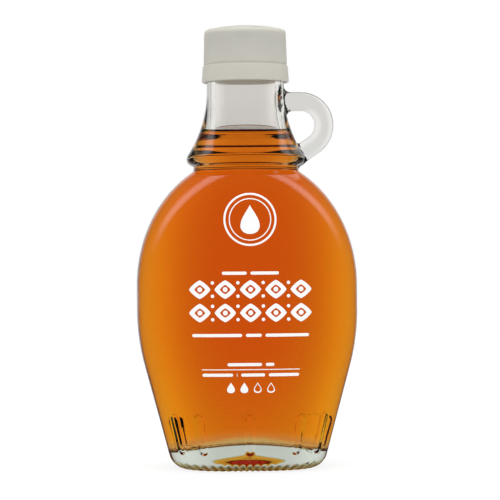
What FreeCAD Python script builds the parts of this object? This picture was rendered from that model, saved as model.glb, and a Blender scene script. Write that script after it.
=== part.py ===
"""Syrup bottle: a flat clear-glass flask with an ear handle, its filling and a screw cap.

The flask stands on Z = 0 with its axis on Z, its broad faces to -Y (front) and +Y, and the
ear on the +X side of the neck.  All lengths are millimetres.

Three sub-parts come out of the document:
  glass_bottle  one solid: flask, neck and ear, hollow inside, with a thick fluted foot
  syrup         what the glass holds, up to the fill level
  cap           screw cap with its tamper band
"""
import FreeCAD
import Part
import Sketcher
import math
import os
import re

SIZES = (
    # alias, value, what it is
    ("body_width", 79.8, "greatest width of the flask, along X"),
    ("body_depth", 53.5, "greatest depth of the flask, along Y"),
    ("foot_width", 54.6, "width where the tapered sides would meet the ground"),
    ("foot_depth", 40.0, "depth where the tapered faces would meet the ground"),
    ("taper_height", 46.8, "height at which the taper runs into the full width"),
    ("taper_blend", 10.0, "half the height over which that corner is rounded"),
    ("wide_height", 66.0, "height at which the shoulder starts to close"),
    ("shoulder_rise", 47.0, "half height of the ellipse that the shoulder follows"),
    ("squareness", 2.6, "exponent of the flask's cross-section, 2 is an ellipse"),
    ("heel_radius", 4.5, "rounding under the foot"),
    ("wall", 2.5, "thickness of the flask's wall"),
    ("floor_height", 9.0, "top of the thick glass foot"),
    ("floor_corner", 6.0, "rounding inside, between floor and wall"),
    ("pushup_height", 3.0, "rise of the hollow under the foot"),
    ("ring_width", 3.2, "width of the ring that the bottle stands on"),
    ("flute_turn_corner", 39.0, "turn from the side to the first groove round the corner"),
    ("flute_turn_front", 62.0, "turn from the side to the second, towards the front"),
    ("flute_middle", 14.0, "height of the middle of a groove"),
    ("flute_half_length", 11.4, "half length of the cutter of a groove"),
    ("flute_radius", 2.6, "radius of the cutter of a groove"),
    ("flute_depth", 0.7, "how deep a groove is"),
    ("waist_radius", 19.3, "where the shoulder meets the collar"),
    ("waist_wall", 5.8, "thickness of the glass there"),
    ("collar_reach", 1.8, "how far the collar's upper edge stands out beyond the waist"),
    ("collar_height", 6.0, "from the waist to the upper edge of the collar"),
    ("collar_bulge", 2.6, "radius of the collar's rounded rim"),
    ("neck_radius", 13.9, "straight part of the neck"),
    ("neck_wall", 3.9, "thickness of the glass there"),
    ("neck_height", 4.0, "height of that straight part, up to the narrower end under the cap"),
    ("flare_height", 23.9, "from the collar's upper edge to the straight part"),
    ("flare_radius", 43.3, "hollow curve from the neck down to the collar"),
    ("bore_flare_height", 20.5, "height over which the bore widens above the flask"),
    ("bore_flare_radius", 64.0, "curve of the bore where it widens"),
    ("finish_step", 1.3, "how much narrower than the neck its end under the cap is"),
    ("finish_height", 16.4, "height of that end, up to the lip on which the cap seals"),
    ("lip_rounding", 0.8, "rounding of the lip"),
    ("ear_reach", 6.0, "from the neck's straight side out to the middle of the ear's ring"),
    ("ear_rise", 16.8, "from the waist up to the middle of the ear's ring"),
    ("ear_ring_radius", 8.6, "from the middle of the ring to the middle of the bar"),
    ("ear_bar_radius", 3.45, "radius of the ear's round bar"),
    ("ear_foot_angle", 55.0, "how far below level the ring ends and the bar runs straight"),
    ("ear_foot_depth", 0.5, "how far inside the waist's radius that bar ends"),
    ("headspace", 35.0, "from the lip down to the syrup"),
    ("cap_height", 20.6, "height of the cap with its tamper band"),
    ("cap_plate", 1.6, "thickness of the cap's top at its edge"),
    ("cap_dome", 1.0, "how much higher the middle of the cap's top is than its edge"),
    ("cap_play", 1.25, "room for the screw thread between the neck's end and the cap"),
    ("cap_taper", 0.35, "how much narrower the cap is at its top edge than at its break line"),
    ("cap_rounding", 1.5, "rounding of the cap's top edge"),
    ("cap_wall", 1.3, "thickness of the cap's skirt"),
    ("band_height", 6.2, "height of the tamper band"),
    ("band_play", 0.65, "room between the neck and the tamper band's lower edge"),
    ("break_width", 0.6, "height of the break line's slit"),
    ("break_depth", 0.7, "depth of the break line's slit"),
    ("joint_overlap", 2.0, "how far neck and bore reach into the flask where they join it"),
    ("joint_ledge", 0.3, "how much narrower than the flask's own end they are there"),
)

SECTION_POINTS = 40    # points that a cross-section of the flask is drawn through
OUTLINE_STEPS = 720    # steps in which its outline is measured to space them evenly
ALIASES = {alias for alias, _, _ in SIZES}

# What follows from those sizes, as expressions in the sheet's names.  The waist and the throat
# are where the outside and the inside of the flask end, on the ellipses that they follow.
THROAT_RADIUS = "(waist_radius - waist_wall)"
WAIST = "(wide_height + shoulder_rise * sqrt(1 - (2 * waist_radius / body_width) ^ 2))"
THROAT = ("(wide_height + (shoulder_rise - wall)"
          f" * sqrt(1 - ({THROAT_RADIUS} / (body_width / 2 - wall)) ^ 2))")
COLLAR = f"({WAIST} + collar_height)"
NECK = f"({COLLAR} + flare_height)"
FINISH = f"({NECK} + neck_height)"
LIP = f"({FINISH} + finish_height)"
BORE_RADIUS = "(neck_radius - neck_wall)"
FINISH_RADIUS = "(neck_radius - finish_step)"
EAR_X = "(neck_radius + ear_reach)"
EAR_HEIGHT = f"({WAIST} + ear_rise)"
CAP_TOP = f"({LIP} + cap_plate + cap_dome)"

doc = FreeCAD.newDocument("SyrupBottle")
sheet = doc.addObject("Spreadsheet::Sheet", "Sizes")
for row, (alias, value, meaning) in enumerate(SIZES, start=1):
    sheet.set(f"A{row}", meaning)
    sheet.set(f"B{row}", str(value))
    sheet.setAlias(f"B{row}", alias)
doc.recompute()


def size(alias):
    """The number in the sheet's cell of that name."""
    return float(sheet.get(alias))


def evaluate(expression):
    """The value of an expression in the sheet's names."""
    return float(sheet.evalExpression(expression))


def in_sheet(expression):
    """The expression with each of the sheet's names written as Sizes.name."""
    return re.sub(r"[a-z_]+", lambda m: f"Sizes.{m[0]}" if m[0] in ALIASES else m[0], expression)


def bind(thing, **expressions):
    """Bind an object's properties to expressions in the sheet's names."""
    for name, expression in expressions.items():
        thing.setExpression(name, in_sheet(expression))


def add(kind, name, **expressions):
    """A new object of the document with its sizes bound to the sheet."""
    thing = doc.addObject(kind, name)
    bind(thing, **expressions)
    return thing


def check(things):
    """Stop where an object failed to build."""
    for thing in things:
        if {"Invalid", "Error"} & set(thing.State):
            raise RuntimeError(f"{thing.Name} failed: {thing.State}")


# ---------------------------------------------------------------- the flask's two skins

def side_width(height, foot, full):
    """Half width of the tapered side: straight from the foot, rounded into the full width."""
    corner = size("taper_height")
    blend = size("taper_blend")
    slope = (full - foot) / corner
    if height <= corner - blend:
        return foot + slope * height
    if height >= corner + blend:
        return full
    return full - slope * (corner + blend - height) ** 2 / (4 * blend)


def corner_inset(rise, radius):
    """How far a rounded lower edge lies inside its side, at a rise above its foot."""
    if rise >= radius:
        return 0.0
    return radius - math.sqrt(radius ** 2 - (radius - rise) ** 2)


class Skin:
    """One skin of the flask: the outside, or the inside set in by the wall."""

    def __init__(self, inset, foot_height, corner, end_radius):
        self.foot_height = foot_height
        self.corner = corner
        self.full = (size("body_width") / 2 - inset, size("body_depth") / 2 - inset)
        self.foot = (size("foot_width") / 2 - inset, size("foot_depth") / 2 - inset)
        self.wide = size("wide_height")
        self.rise = size("shoulder_rise") - inset
        # the shoulder ends where its ellipse, seen from the front, has narrowed to the end radius
        self.end_share = math.sqrt(1 - (end_radius / self.full[0]) ** 2)
        self.end_height = self.wide + self.rise * self.end_share
        # seen from the side it closes later, by the power that brings it to the same radius
        closing = 1 - (end_radius / self.full[1]) ** 2
        self.power = math.log(closing) / math.log(self.end_share)

    def half_sizes(self, height):
        """Half width, half depth and exponent of the cross-section at a height."""
        if height <= self.wide:
            inset = corner_inset(height - self.foot_height, self.corner)
            across, deep = (side_width(height, self.foot[k], self.full[k]) - inset for k in (0, 1))
            return across, deep, size("squareness")
        share = min((height - self.wide) / self.rise, self.end_share)
        across = self.full[0] * math.sqrt(1 - share ** 2)
        deep = self.full[1] * math.sqrt(1 - share ** self.power)
        blend = share / self.end_share
        roundness = blend ** 4 * (5 - 4 * blend)
        return across, deep, size("squareness") + (2 - size("squareness")) * roundness

    def point(self, turn, height):
        """Point of the skin: turn 0 is +X, a quarter turn is +Y."""
        across, deep, exponent = self.half_sizes(height)
        cos, sin = math.cos(turn), math.sin(turn)
        x = across * math.copysign(abs(cos) ** (2 / exponent), cos)
        y = deep * math.copysign(abs(sin) ** (2 / exponent), sin)
        return FreeCAD.Vector(x, y, height)

    def heights(self):
        """Heights of the cross-sections: close together where the skin curves most."""
        corner = [self.corner * share for share in (0, 0.04, 0.16, 0.36, 0.64, 1)]
        levels = [self.foot_height + rise for rise in corner]
        straight = size("taper_height") - size("taper_blend")
        stretches = (
            (straight, (0.12, 0.35, 0.67, 1)),
            (self.wide, (0.33, 0.67, 1)),
            (self.end_height, (0.2, 0.38, 0.54, 0.68, 0.79, 0.87, 0.93, 0.97, 1)),
        )
        for top, shares in stretches:
            bottom = levels[-1]
            levels += [bottom + (top - bottom) * share for share in shares]
        return levels

    def section(self, height):
        """Closed wire of the cross-section, its points evenly spaced along the outline."""
        turns = [2 * math.pi * k / OUTLINE_STEPS for k in range(OUTLINE_STEPS + 1)]
        fine = [self.point(turn, height) for turn in turns]
        along = [0.0]
        for before, after in zip(fine, fine[1:]):
            along.append(along[-1] + before.distanceToPoint(after))
        points = []
        index = 0
        for k in range(SECTION_POINTS):
            target = along[-1] * k / SECTION_POINTS
            while along[index + 1] < target:
                index += 1
            share = (target - along[index]) / (along[index + 1] - along[index])
            points.append(fine[index] + (fine[index + 1] - fine[index]) * share)
        curve = Part.BSplineCurve()
        knots = [k / SECTION_POINTS for k in range(SECTION_POINTS + 1)]
        curve.interpolate(Points=points, PeriodicFlag=True, Parameters=knots)
        return Part.Wire([curve.toShape()])

    def solid(self):
        """The solid inside the skin."""
        return Part.makeLoft([self.section(height) for height in self.heights()], True, False)


# ---------------------------------------------------------------- sketches, turned pieces, pipes

def origin_plane(body, role):
    return next(feature for feature in body.Origin.OriginFeatures if feature.Role == role)


def add_sketch(body, name, role):
    """Sketch on one of its body's own origin planes."""
    sketch = body.newObject("Sketcher::SketchObject", name)
    sketch.AttachmentSupport = [(origin_plane(body, role), "")]
    sketch.MapMode = "FlatFace"
    return sketch


def hold(sketch, kind, target, value, label, expression):
    """Add a dimension to a sketch and bind it to the sheet."""
    index = sketch.addConstraint(Sketcher.Constraint(kind, *target, value))
    sketch.renameConstraint(index, label)
    sketch.setExpression("Constraints." + label, in_sheet(expression))


def hold_corner(sketch, vertex, across, up, label):
    """Hold a corner at its distances from the sketch's axes, or on an axis where that is 0."""
    for kind, axis, expression in (("DistanceX", -2, across), ("DistanceY", -1, up)):
        value = evaluate(expression)
        if value == 0:
            sketch.addConstraint(Sketcher.Constraint("PointOnObject", *vertex, axis))
        else:
            hold(sketch, kind, (-1, 1, *vertex), value, f"{kind}_{label}", expression)


def arc_between(start, end, radius, hollow):
    """Arc of a radius between two points, and whether it runs from end to start."""
    chord = end - start
    across = FreeCAD.Vector(-chord.y, chord.x, 0).normalize()
    reach = math.sqrt(radius ** 2 - (chord.Length / 2) ** 2)
    middle = (start + end) / 2 + across * (reach if hollow else -reach)
    first = math.atan2(start.y - middle.y, start.x - middle.x)
    last = math.atan2(end.y - middle.y, end.x - middle.x)
    circle = Part.Circle(middle, FreeCAD.Vector(0, 0, 1), radius)
    if (last - first) % (2 * math.pi) < math.pi:
        return Part.ArcOfCircle(circle, first, last), False
    return Part.ArcOfCircle(circle, last, first), True


def draw(sketch, corners, closed=True):
    """Draw an outline through corners of (across, up, bend), all expressions.

    bend is None where a straight line leads to the next corner, or the radius of an arc; a
    minus sign before it puts the arc's middle on the left of the way there, not the right.
    """
    places = [FreeCAD.Vector(evaluate(across), evaluate(up), 0) for across, up, _ in corners]
    edges = len(corners) if closed else len(corners) - 1
    ends = []
    for k in range(edges):
        start, end = places[k], places[(k + 1) % len(corners)]
        bend = corners[k][2]
        flipped = False
        line = Part.LineSegment(start, end)
        if bend is not None:
            line, flipped = arc_between(start, end, evaluate(bend.lstrip("-")), bend[0] == "-")
        sketch.addGeometry(line, False)
        ends.append((2, 1) if flipped else (1, 2))
        if bend is not None:
            hold(sketch, "Radius", (k,), evaluate(bend.lstrip("-")), f"Bend_{k}", bend.lstrip("-"))
    for k in range(edges):
        hold_corner(sketch, (k, ends[k][0]), *corners[k][:2], k)
        if closed or k + 1 < edges:
            after = (k + 1) % edges
            sketch.addConstraint(
                Sketcher.Constraint("Coincident", k, ends[k][1], after, ends[after][0]))
    if not closed:
        hold_corner(sketch, (edges - 1, ends[-1][1]), *corners[-1][:2], edges)


def add_turned(name, corners):
    """Body turned about Z from a closed outline of (radius, height, bend) corners."""
    body = doc.addObject("PartDesign::Body", name)
    sketch = add_sketch(body, name + "_outline", "XZ_Plane")
    draw(sketch, corners)
    turned = body.newObject("PartDesign::Revolution", name + "_turned")
    turned.Profile = sketch
    turned.ReferenceAxis = (sketch, ["V_Axis"])
    turned.Angle = 360
    body.Tip = turned
    return body


def add_bar(name, path, start_x, start_height, radius):
    """Body of a round bar that leaves a place along +X and follows a path in the XZ plane."""
    body = doc.addObject("PartDesign::Body", name)
    spine = add_sketch(body, name + "_path", "XZ_Plane")
    draw(spine, path, closed=False)
    section = add_sketch(body, name + "_section", "YZ_Plane")
    section.setExpression("AttachmentOffset.Base.z", in_sheet(start_x))
    middle = FreeCAD.Vector(0, evaluate(start_height), 0)
    circle = Part.Circle(middle, FreeCAD.Vector(0, 0, 1), evaluate(radius))
    section.addGeometry(circle, False)
    hold_corner(section, (0, 3), "0", start_height, "middle")
    hold(section, "Radius", (0,), evaluate(radius), "Bar", radius)
    doc.recompute()
    pipe = body.newObject("PartDesign::AdditivePipe", name + "_bar")
    pipe.Profile = section
    pipe.Spine = (spine, [f"Edge{k + 1}" for k in range(len(path) - 1)])
    body.Tip = pipe
    return body


# ---------------------------------------------------------------- glass

def add_skin(name, skin):
    """The solid inside one skin of the flask."""
    feature = doc.addObject("Part::Feature", name)
    feature.Shape = skin.solid()
    feature.Placement = FreeCAD.Placement()
    return feature


def flute_turns():
    """Turns of the grooves: one at each side and face, two round each corner, 0 is +X."""
    quarter = (0, size("flute_turn_corner"), size("flute_turn_front"), 90)
    half = [*quarter, *(180 - turn for turn in quarter[-2:0:-1])]
    return [math.radians(turn) for turn in half + [turn + 180 for turn in half]]


def add_flute(number, turn, outside):
    """Cutter of one groove: a long ellipsoid that lies along the wall, mostly outside it."""
    cutter = add("Part::Ellipsoid", f"flute_{number + 1}", Radius1="flute_half_length",
                 Radius2="flute_radius", Radius3="flute_radius")
    middle = size("flute_middle")
    along = outside.point(turn, middle + 1) - outside.point(turn, middle - 1)
    around = outside.point(turn + 0.01, middle) - outside.point(turn - 0.01, middle)
    outward = around.cross(along).normalize()
    centre = outside.point(turn, middle) + outward * (size("flute_radius") - size("flute_depth"))
    rotation = FreeCAD.Rotation(FreeCAD.Vector(0, 0, 1), along)
    cutter.Placement = FreeCAD.Placement(centre, rotation)
    return cutter


def add_glass():
    """The bottle's glass and, for the syrup, the hollow inside it."""
    outside = Skin(0, 0, size("heel_radius"), size("waist_radius"))
    inside = Skin(size("wall"), size("floor_height"), size("floor_corner"), evaluate(THROAT_RADIUS))
    flask = add_skin("flask_outside", outside)
    neck = add_turned("neck", (
        ("0", f"{WAIST} - joint_overlap", None),
        ("waist_radius - joint_ledge", f"{WAIST} - joint_overlap", None),
        ("waist_radius - joint_ledge", f"{WAIST} + joint_overlap", "-collar_bulge"),
        ("waist_radius + collar_reach", COLLAR, "flare_radius"),
        ("neck_radius", NECK, None),
        ("neck_radius", f"{FINISH} - joint_ledge", None),
        (FINISH_RADIUS, FINISH, None),
        (FINISH_RADIUS, f"{LIP} - lip_rounding", "-lip_rounding"),
        (f"{FINISH_RADIUS} - lip_rounding", LIP, None),
        ("0", LIP, None),
    ))
    ear_top = f"{EAR_HEIGHT} + ear_ring_radius"
    ear_start = "neck_radius - neck_wall / 2"
    angle = "(ear_foot_angle * 1 deg)"
    foot_x = f"({EAR_X} + ear_ring_radius * cos{angle})"
    foot_height = f"({EAR_HEIGHT} - ear_ring_radius * sin{angle})"
    end_x = "(waist_radius - ear_foot_depth)"
    ear = add_bar("ear", (
        (ear_start, ear_top, None),
        (EAR_X, ear_top, "ear_ring_radius"),
        (foot_x, foot_height, None),
        (end_x, f"{foot_height} - ({foot_x} - {end_x}) / tan{angle}", None),
    ), ear_start, ear_top, "ear_bar_radius")
    blank = doc.addObject("Part::MultiFuse", "blank")
    blank.Shapes = [flask, neck, ear]

    bore = add_turned("bore", (
        ("0", f"{THROAT} - joint_overlap", None),
        (f"{THROAT_RADIUS} - joint_ledge", f"{THROAT} - joint_overlap", None),
        (f"{THROAT_RADIUS} - joint_ledge", THROAT, "bore_flare_radius"),
        (BORE_RADIUS, f"{THROAT} + bore_flare_height", None),
        (BORE_RADIUS, f"{LIP} + joint_overlap", None),
        ("0", f"{LIP} + joint_overlap", None),
    ))
    hollow = doc.addObject("Part::MultiFuse", "hollow")
    hollow.Shapes = [add_skin("flask_inside", inside), bore]

    pushup = add("Part::Ellipsoid", "pushup", Radius1="pushup_height",
                 Radius2="foot_width / 2 - heel_radius - ring_width",
                 Radius3="foot_depth / 2 - heel_radius - ring_width")
    flutes = [add_flute(number, turn, outside) for number, turn in enumerate(flute_turns())]
    reliefs = doc.addObject("Part::Compound", "reliefs")
    reliefs.Links = [pushup, *flutes]

    hollowed = doc.addObject("Part::Cut", "hollowed")
    hollowed.Base = blank
    hollowed.Tool = hollow
    glass = doc.addObject("Part::Cut", "glass_bottle")
    glass.Base = hollowed
    glass.Tool = reliefs
    return glass, hollow


# ---------------------------------------------------------------- syrup and cap

def add_syrup(hollow):
    """What the bottle holds: its hollow up to the fill level."""
    block = add("Part::Box", "filled_part", Length="body_width", Width="body_width",
                Height=f"{LIP} - headspace")
    bind(block, **{"Placement.Base.x": "-body_width / 2", "Placement.Base.y": "-body_width / 2"})
    syrup = doc.addObject("Part::Common", "syrup")
    syrup.Base = hollow
    syrup.Tool = block
    return syrup


def add_cap():
    """Screw cap, seated on the lip, with the tamper band under its break line."""
    inside = f"({FINISH_RADIUS} + cap_play)"
    skirt = f"({inside} + cap_wall)"
    shoulder = f"({skirt} - cap_taper)"
    flat = f"({shoulder} - cap_rounding)"
    band_inside = "(neck_radius + band_play)"
    edge = f"({LIP} + cap_plate)"
    foot = f"({CAP_TOP} - cap_height)"
    line = f"({foot} + band_height)"
    return add_turned("cap", (
        ("0", LIP, None),
        (inside, LIP, None),
        (inside, line, None),
        (band_inside, foot, None),
        (f"{band_inside} + cap_wall", foot, None),
        (skirt, line, None),
        (f"{skirt} - break_depth", line, None),
        (f"{skirt} - break_depth", f"{line} + break_width", None),
        (skirt, f"{line} + break_width", None),
        (shoulder, f"{edge} - cap_rounding", "-cap_rounding"),
        (flat, edge, f"-({flat} ^ 2 + cap_dome ^ 2) / (2 * cap_dome)"),
        ("0", CAP_TOP, None),
    ))


glass_bottle, inner_space = add_glass()
pieces = [glass_bottle, add_syrup(inner_space), add_cap()]
doc.recompute()
check(doc.Objects)

os.makedirs("parts", exist_ok=True)
for piece in pieces:
    piece.Label = piece.Name
    shape = piece.Shape
    if shape.isNull() or not shape.isValid() or len(shape.Solids) != 1:
        raise RuntimeError(f"{piece.Label} is not one valid solid")
    shape.exportStep(f"parts/{piece.Label}.step")
    print(f"{piece.Label}: {shape.Volume / 1000:.2f} ml, {shape.BoundBox}")
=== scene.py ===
"""Syrup flask: the clear glass bottle with its ear, the syrup in it, its screw cap and its print.

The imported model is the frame.  Lengths are metres, +Z is up, -Y is the front and the ear is on
+X.  Sizes come from the frame's boxes and from the property groups; every curved surface is
worked out as whole arrays.
"""
import math

import bpy
import numpy as np
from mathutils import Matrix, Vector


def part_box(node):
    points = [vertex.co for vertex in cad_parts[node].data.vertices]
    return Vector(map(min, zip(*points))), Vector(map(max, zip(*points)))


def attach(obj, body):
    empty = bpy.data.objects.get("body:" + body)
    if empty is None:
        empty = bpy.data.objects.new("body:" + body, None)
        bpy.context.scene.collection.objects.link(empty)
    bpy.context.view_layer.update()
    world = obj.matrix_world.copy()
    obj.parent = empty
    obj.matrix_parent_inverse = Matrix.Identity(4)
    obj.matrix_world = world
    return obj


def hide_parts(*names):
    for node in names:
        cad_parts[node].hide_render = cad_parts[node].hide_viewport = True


bl_info = {
    "name": "Syrup Flask",
    "version": (1, 0, 0),
    "blender": (4, 5, 0),
    "location": "View3D > Sidebar > Syrup Flask",
    "description": "Adds a clear glass syrup flask with its filling, its screw cap and its print",
    "category": "Add Mesh",
}

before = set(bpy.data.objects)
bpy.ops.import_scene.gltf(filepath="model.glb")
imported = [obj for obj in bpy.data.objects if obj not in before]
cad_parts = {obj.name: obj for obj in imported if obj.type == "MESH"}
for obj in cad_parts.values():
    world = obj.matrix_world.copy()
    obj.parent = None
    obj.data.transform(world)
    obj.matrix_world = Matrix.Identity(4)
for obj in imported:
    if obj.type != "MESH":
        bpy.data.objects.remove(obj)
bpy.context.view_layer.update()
GLASS_LOW, GLASS_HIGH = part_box("glass_bottle")
SYRUP_LOW, SYRUP_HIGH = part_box("syrup")
CAP_LOW, CAP_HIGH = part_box("cap")
MM = 0.001
COLUMNS = 320            # columns round the flask, in glass and syrup alike
STEP = 0.1 * MM          # fine step in which a profile is worked out
POLE_STEPS = 8           # steps of a profile that are left to the pole at its start
SOFTNESS = 0.45 * MM     # width of the bell curve that softens the glass's corners
FLOOR_HALF = 1.2         # half the side of the floor
FILLED = 0.02            # size of a printed outline's hole where the shape is filled
LAMPS = (                # name, place, side, and how bright each makes a white face
    ("key", (-0.55, -0.8, 0.6), 0.5, 0.17),
    ("fill", (0.6, -0.8, 0.45), 0.5, 0.17),
    ("top", (0.0, 0.1, 1.1), 0.6, 0.16),
)


# ---------------------------------------------------------------- properties

def linear(hex_colour):
    """Linear colour of an sRGB hex value such as #C1BEB6."""
    channels = [int(hex_colour[k:k + 2], 16) / 255 for k in (1, 3, 5)]
    return tuple(c / 12.92 if c <= 0.04045 else ((c + 0.055) / 1.055) ** 2.4 for c in channels)


def length(name, value, description):
    """Property that holds a length; its default is given in millimetres."""
    return bpy.props.FloatProperty(name=name, description=description, default=value * MM,
                                   unit="LENGTH", precision=5)


def number(name, value, description):
    """Property that holds a plain number."""
    return bpy.props.FloatProperty(name=name, description=description, default=value)


def count(name, value, description):
    """Property that holds how many there are of something."""
    return bpy.props.IntProperty(name=name, description=description, default=value, min=1)


def angle(name, degrees, description):
    """Property that holds an angle; its default is given in degrees."""
    return bpy.props.FloatProperty(name=name, description=description,
                                   default=math.radians(degrees), unit="ROTATION")


def colour(name, hex_colour, description):
    """Property that holds a colour; its default is given as an sRGB hex value."""
    return bpy.props.FloatVectorProperty(name=name, description=description, subtype="COLOR",
                                         size=3, min=0, max=1, default=linear(hex_colour))


class FlaskSizes(bpy.types.PropertyGroup):
    """Sizes of the flat flask and of its foot."""
    width: length("Width", (GLASS_HIGH.x - GLASS_LOW.x) / MM - 0.06, "Greatest width")
    depth: length("Depth", (GLASS_HIGH.y - GLASS_LOW.y) / MM - 0.03, "Greatest depth")
    foot_width: length("Foot width", 54.6, "Width where the tapered sides would meet the ground")
    foot_depth: length("Foot depth", 40, "Depth where the tapered faces would meet the ground")
    taper_height: length("Taper height", 46.8, "Height at which the taper ends")
    taper_blend: length("Taper blend", 10, "Half the height over which that corner is rounded")
    wide_height: length("Wide height", 66, "Height at which the shoulder starts to close")
    shoulder_rise: length("Shoulder rise", 47, "Half height of the shoulder's ellipse")
    squareness: number("Squareness", 2.6, "Exponent of the cross-section, 2 is an ellipse")
    heel_radius: length("Heel radius", 4.5, "Rounding under the foot")
    wall: length("Wall", 2.5, "Thickness of the wall")
    floor_height: length("Floor height", SYRUP_LOW.z / MM + 3.2, "Top of the thick glass foot")
    floor_fall: length("Floor fall", 2.2, "How much lower the floor lies at the faces")
    floor_sag: length("Floor sag", 3.6, "How much lower again it lies at the sides")
    floor_corner: length("Floor corner", 6, "Rounding inside, between floor and wall")
    pushup_height: length("Push-up height", 6.2, "Rise of the hollow under the foot")
    ring_width: length("Ring width", 3.2, "Width of the ring that the flask stands on")
    knurl_count: count("Knurls", 50, "Fine ridges round the ring")
    knurl_depth: length("Knurl depth", 0.4, "Depth of the hollows between the ridges")
    wall_wave: length("Wall wave", 0.12, "How uneven the blown inner wall is")
    seam_height: length("Seam height", 0.07, "How far the mould seam stands out")
    seam_width: length("Seam width", 0.35, "Half width of the mould seam")


class FluteSizes(bpy.types.PropertyGroup):
    """Sizes of the upright grooves round the foot."""
    corner_turn: angle("Corner turn", 39, "Turn of the first groove round each corner")
    front_turn: angle("Front turn", 62, "Turn of the second groove round each corner")
    lower_end: length("Lower end", 8, "Height of the middle of the lower round end")
    upper_end: length("Upper end", 19.2, "Height of the middle of the arched top")
    half_width: length("Half width", 1.9, "Half width of a groove")
    flank: length("Flank", 0.75, "Width of its sloping sides")
    depth: length("Depth", 0.75, "Depth of a groove")


class NeckSizes(bpy.types.PropertyGroup):
    """Sizes of collar, neck and bore."""
    waist_radius: length("Waist radius", 19.3, "Where the shoulder meets the collar")
    waist_wall: length("Waist wall", 4.2, "Thickness of the glass there")
    collar_reach: length("Collar reach", 1.8, "How far the collar stands out beyond the waist")
    collar_height: length("Collar height", 6, "From the waist to the collar's upper edge")
    collar_bulge: length("Collar bulge", 2.6, "Radius of the collar's rounded rim")
    neck_radius: length("Neck radius", 13.9, "Straight part of the neck")
    neck_wall: length("Neck wall", 2.8, "Thickness of the glass there")
    neck_height: length("Neck height", 4, "Height of the straight part")
    flare_height: length("Flare height", 23.9, "From the collar's edge to the straight part")
    flare_radius: length("Flare radius", 43.3, "Hollow curve from neck to collar")
    bore_flare_height: length("Bore flare height", 20.5, "Height over which the bore widens")
    bore_flare_radius: length("Bore flare radius", 64, "Curve of the bore where it widens")
    finish_step: length("Finish step", 1.3, "How much narrower the neck is under the cap")
    lip_rounding: length("Lip rounding", 0.8, "Rounding of the lip")


class EarSizes(bpy.types.PropertyGroup):
    """Sizes of the small ear handle."""
    reach: length("Reach", 6, "From the neck's side to the middle of the ring")
    rise: length("Rise", 16.8, "From the waist to the middle of the ring")
    ring_radius: length("Ring radius", 8.6, "From the middle of the ring to that of the bar")
    bar_radius: length("Bar radius", 3.45, "Radius of the round bar")
    foot_angle: angle("Foot angle", 55, "How far below level the ring ends")
    foot_depth: length("Foot depth", 2.4, "How far inside the waist's radius the bar ends")
    root_fillet: length("Root fillet", 2.4, "Rounding between neck and bar")
    foot_fillet: length("Foot fillet", 1.2, "Rounding between collar and bar")


class SyrupSizes(bpy.types.PropertyGroup):
    """How the syrup sits in the glass."""
    level: length("Level", SYRUP_HIGH.z / MM - 1.5, "Height of the syrup's surface")
    reach: length("Reach", 0.2, "How far the syrup reaches into the wall")
    meniscus: length("Meniscus", 0.35, "How far the syrup climbs at the wall")
    meniscus_width: length("Meniscus width", 0.9, "Distance over which it levels out")


class CapSizes(bpy.types.PropertyGroup):
    """Sizes of the screw cap and its tamper band."""
    dome: length("Dome", 1.5, "How much higher the middle of the top is than its edge")
    rounding: length("Rounding", 1.1, "Rounding of the top edge")
    taper: length("Taper", 0.35, "How much narrower the cap is at its top")
    play: length("Play", 1.25, "Room between the neck's end and the skirt")
    wall: length("Wall", 1.3, "Thickness of the skirt")
    band_height: length("Band height", 6.2, "Height of the tamper band")
    band_play: length("Band play", 0.65, "Room between neck and band foot")
    slit_height: length("Slit height", 0.3, "Height of the break line's slit")
    slit_depth: length("Slit depth", 0.25, "Depth of the slit between its bridges")
    ledge: length("Ledge", 0.3, "How far the band's upper edge stands out")
    chamfer: length("Chamfer", 0.35, "Bevel of the skirt's lower edge over the slit")
    bridges: count("Bridges", 16, "Thin bridges that hold the band to the cap")
    gate: length("Gate", 0.9, "Radius of the mould's gate mark in the top")


class PrintSizes(bpy.types.PropertyGroup):
    """Sizes of the white enamel print on the front face."""
    thickness: length("Thickness", 0.05, "How far the enamel stands out of the glass")
    middle: length("Middle", 0.35, "Where the middle of the print lies across the face")
    ring_height: length("Ring height", 89.7, "Height of the middle of the ring")
    ring_radius: length("Ring radius", 9.3, "Outer radius of the ring")
    ring_stroke: length("Ring stroke", 0.7, "Width of the ring's line")
    chain_width: length("Chain width", 44.4, "Width of the two rows of lozenges")
    chain_height: length("Chain height", 6.5, "Height of a row of lozenges")
    chain_upper: length("Upper chain", 65.2, "Height of the middle of the upper row")
    chain_lower: length("Lower chain", 57, "Height of the middle of the lower row")


class Finishes(bpy.types.PropertyGroup):
    """Colours of the finishes."""
    plastic: colour("Cap", "#CECABD", "Off-white moulded polyethylene")
    enamel: colour("Enamel", "#FFFFFF", "Fired white enamel")
    # The next colour is painted shade: the glass greys warmly from 104 mm up, over neck and ear.
    neck_shade: colour("Neck's glass", "#FAF7F5", "Tone of the thick glass of neck and ear")
    # The next colour is painted shade: a dark line drawn on the grooves' steep flanks.
    flank: colour("Groove flanks", "#6E705E", "Tone of the glass on the grooves' flanks")
    # The next colour is painted shade: a dark brown on the foot's edge, standing in for the
    # contact shadow under it.
    painted_foot_shade: colour("Scuffs", "#3C2616", "Tone of the scuffed edge under the foot")
    floor: colour("Floor", "#F4F2F0", "Pale floor")
    floor_under: colour("Floor under the foot", "#7C5230", "What the foot's glass sees of it")
    syrup_skin: colour("Syrup in thin layers", "#FFB32E", "Golden colour of a thin layer")
    # The next colour is partly painted light: the skin towards the body's rim and lower part,
    # partly for thinner syrup and partly for brighter light there.
    syrup_rim_lit: colour("Syrup at the rim", "#FFFF2C", "Its colour towards the flask's rim")
    syrup_floor: colour("Syrup on the floor", "#FFF4B0", "Its colour where it thins out")
    syrup_red: number("Syrup red", 4, "Red light that the syrup takes up in a metre")
    syrup_green: number("Syrup green", 30, "Green light that the syrup takes up in a metre")
    syrup_blue: number("Syrup blue", 48, "Blue light that the syrup takes up in a metre")


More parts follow.
